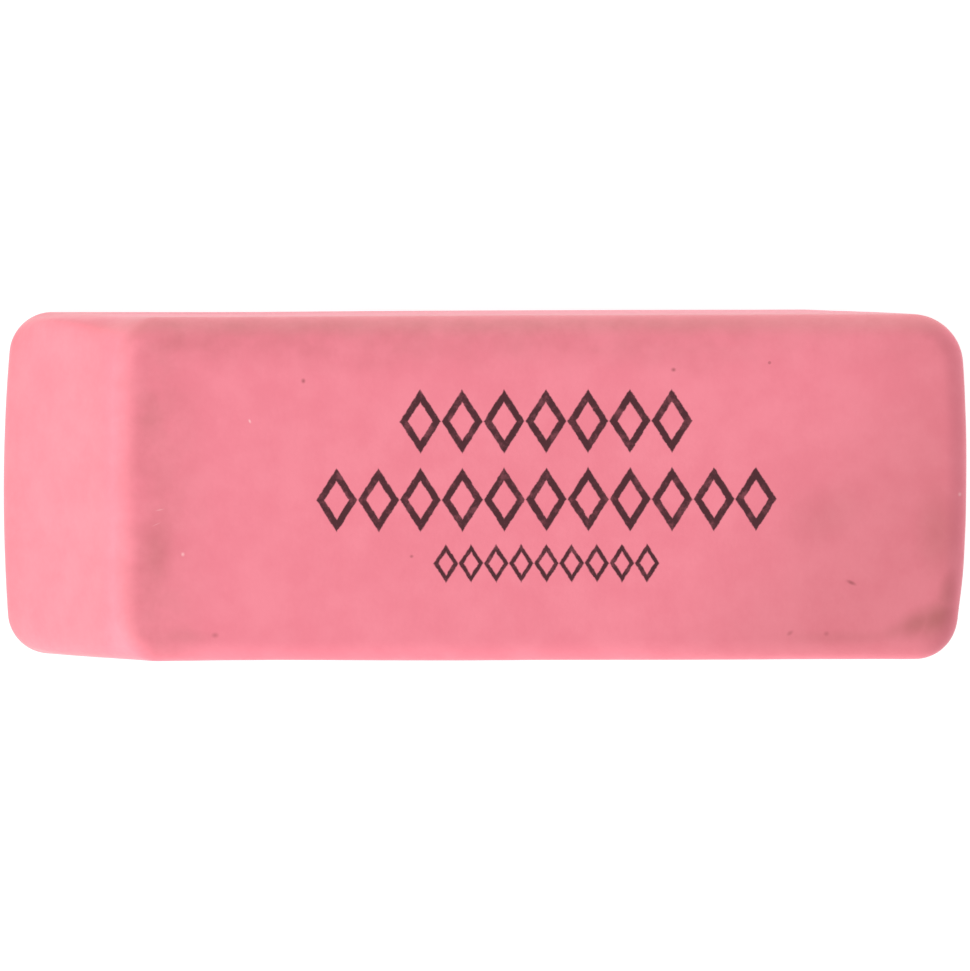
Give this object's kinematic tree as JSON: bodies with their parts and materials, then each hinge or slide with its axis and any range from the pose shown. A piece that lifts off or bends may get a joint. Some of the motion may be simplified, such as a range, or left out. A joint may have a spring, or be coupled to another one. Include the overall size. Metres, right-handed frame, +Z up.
{
  "type": "rubber eraser",
  "caption": "Pink rubber block eraser with parallel flat faces, rounded edges and two ends that slope the same way, for rubbing out pencil marks by hand.",
  "frame": {"origin": "under the middle of the block, on the surface that it lies on", "axes": "+X along the length towards the overhanging end, +Y across the width, +Z up out of the upper face"},
  "size_m": [0.0532, 0.019, 0.011],
  "materials": {
    "pink_rubber": "matte"
  },
  "bodies": {
    "root": {"eraser_block": "pink_rubber"}
  },
  "joints": []
}
